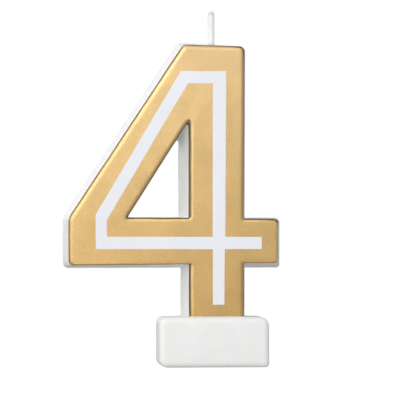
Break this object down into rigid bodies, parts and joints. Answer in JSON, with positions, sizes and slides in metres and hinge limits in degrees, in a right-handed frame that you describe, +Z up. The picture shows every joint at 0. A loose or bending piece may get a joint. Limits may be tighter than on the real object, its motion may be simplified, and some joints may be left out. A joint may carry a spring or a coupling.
{
  "type": "number birthday candle",
  "caption": "Upright wax numeral four with a rounded gold coat, a white inline stripe, a waxed cotton wick at the top and a wide wax foot it stands in.",
  "frame": {"origin": "middle of the foot's flat underside", "axes": "+Z up the stem to the wick, the gold front faces -Y, and +X is to the right of a person who looks at the front, where the short arm is"},
  "size_m": [0.0523, 0.013, 0.0845],
  "materials": {
    "wax": "smooth cast white wax, slightly translucent, satin",
    "gold_coat": "fine-grained satin gold coat",
    "white_line": "smooth cool white, satin",
    "wick": "braided cotton",
    "wick_wax": "thin translucent wax film"
  },
  "bodies": {
    "root": {"wax_numeral": "wax", "foot_block": "wax", "gold_outer_border": "gold_coat", "gold_inner_ring": "gold_coat", "white_inline_stripe": "white_line", "wick_braid": "wick", "wick_wax_coat": "wick_wax"}
  },
  "joints": []
}
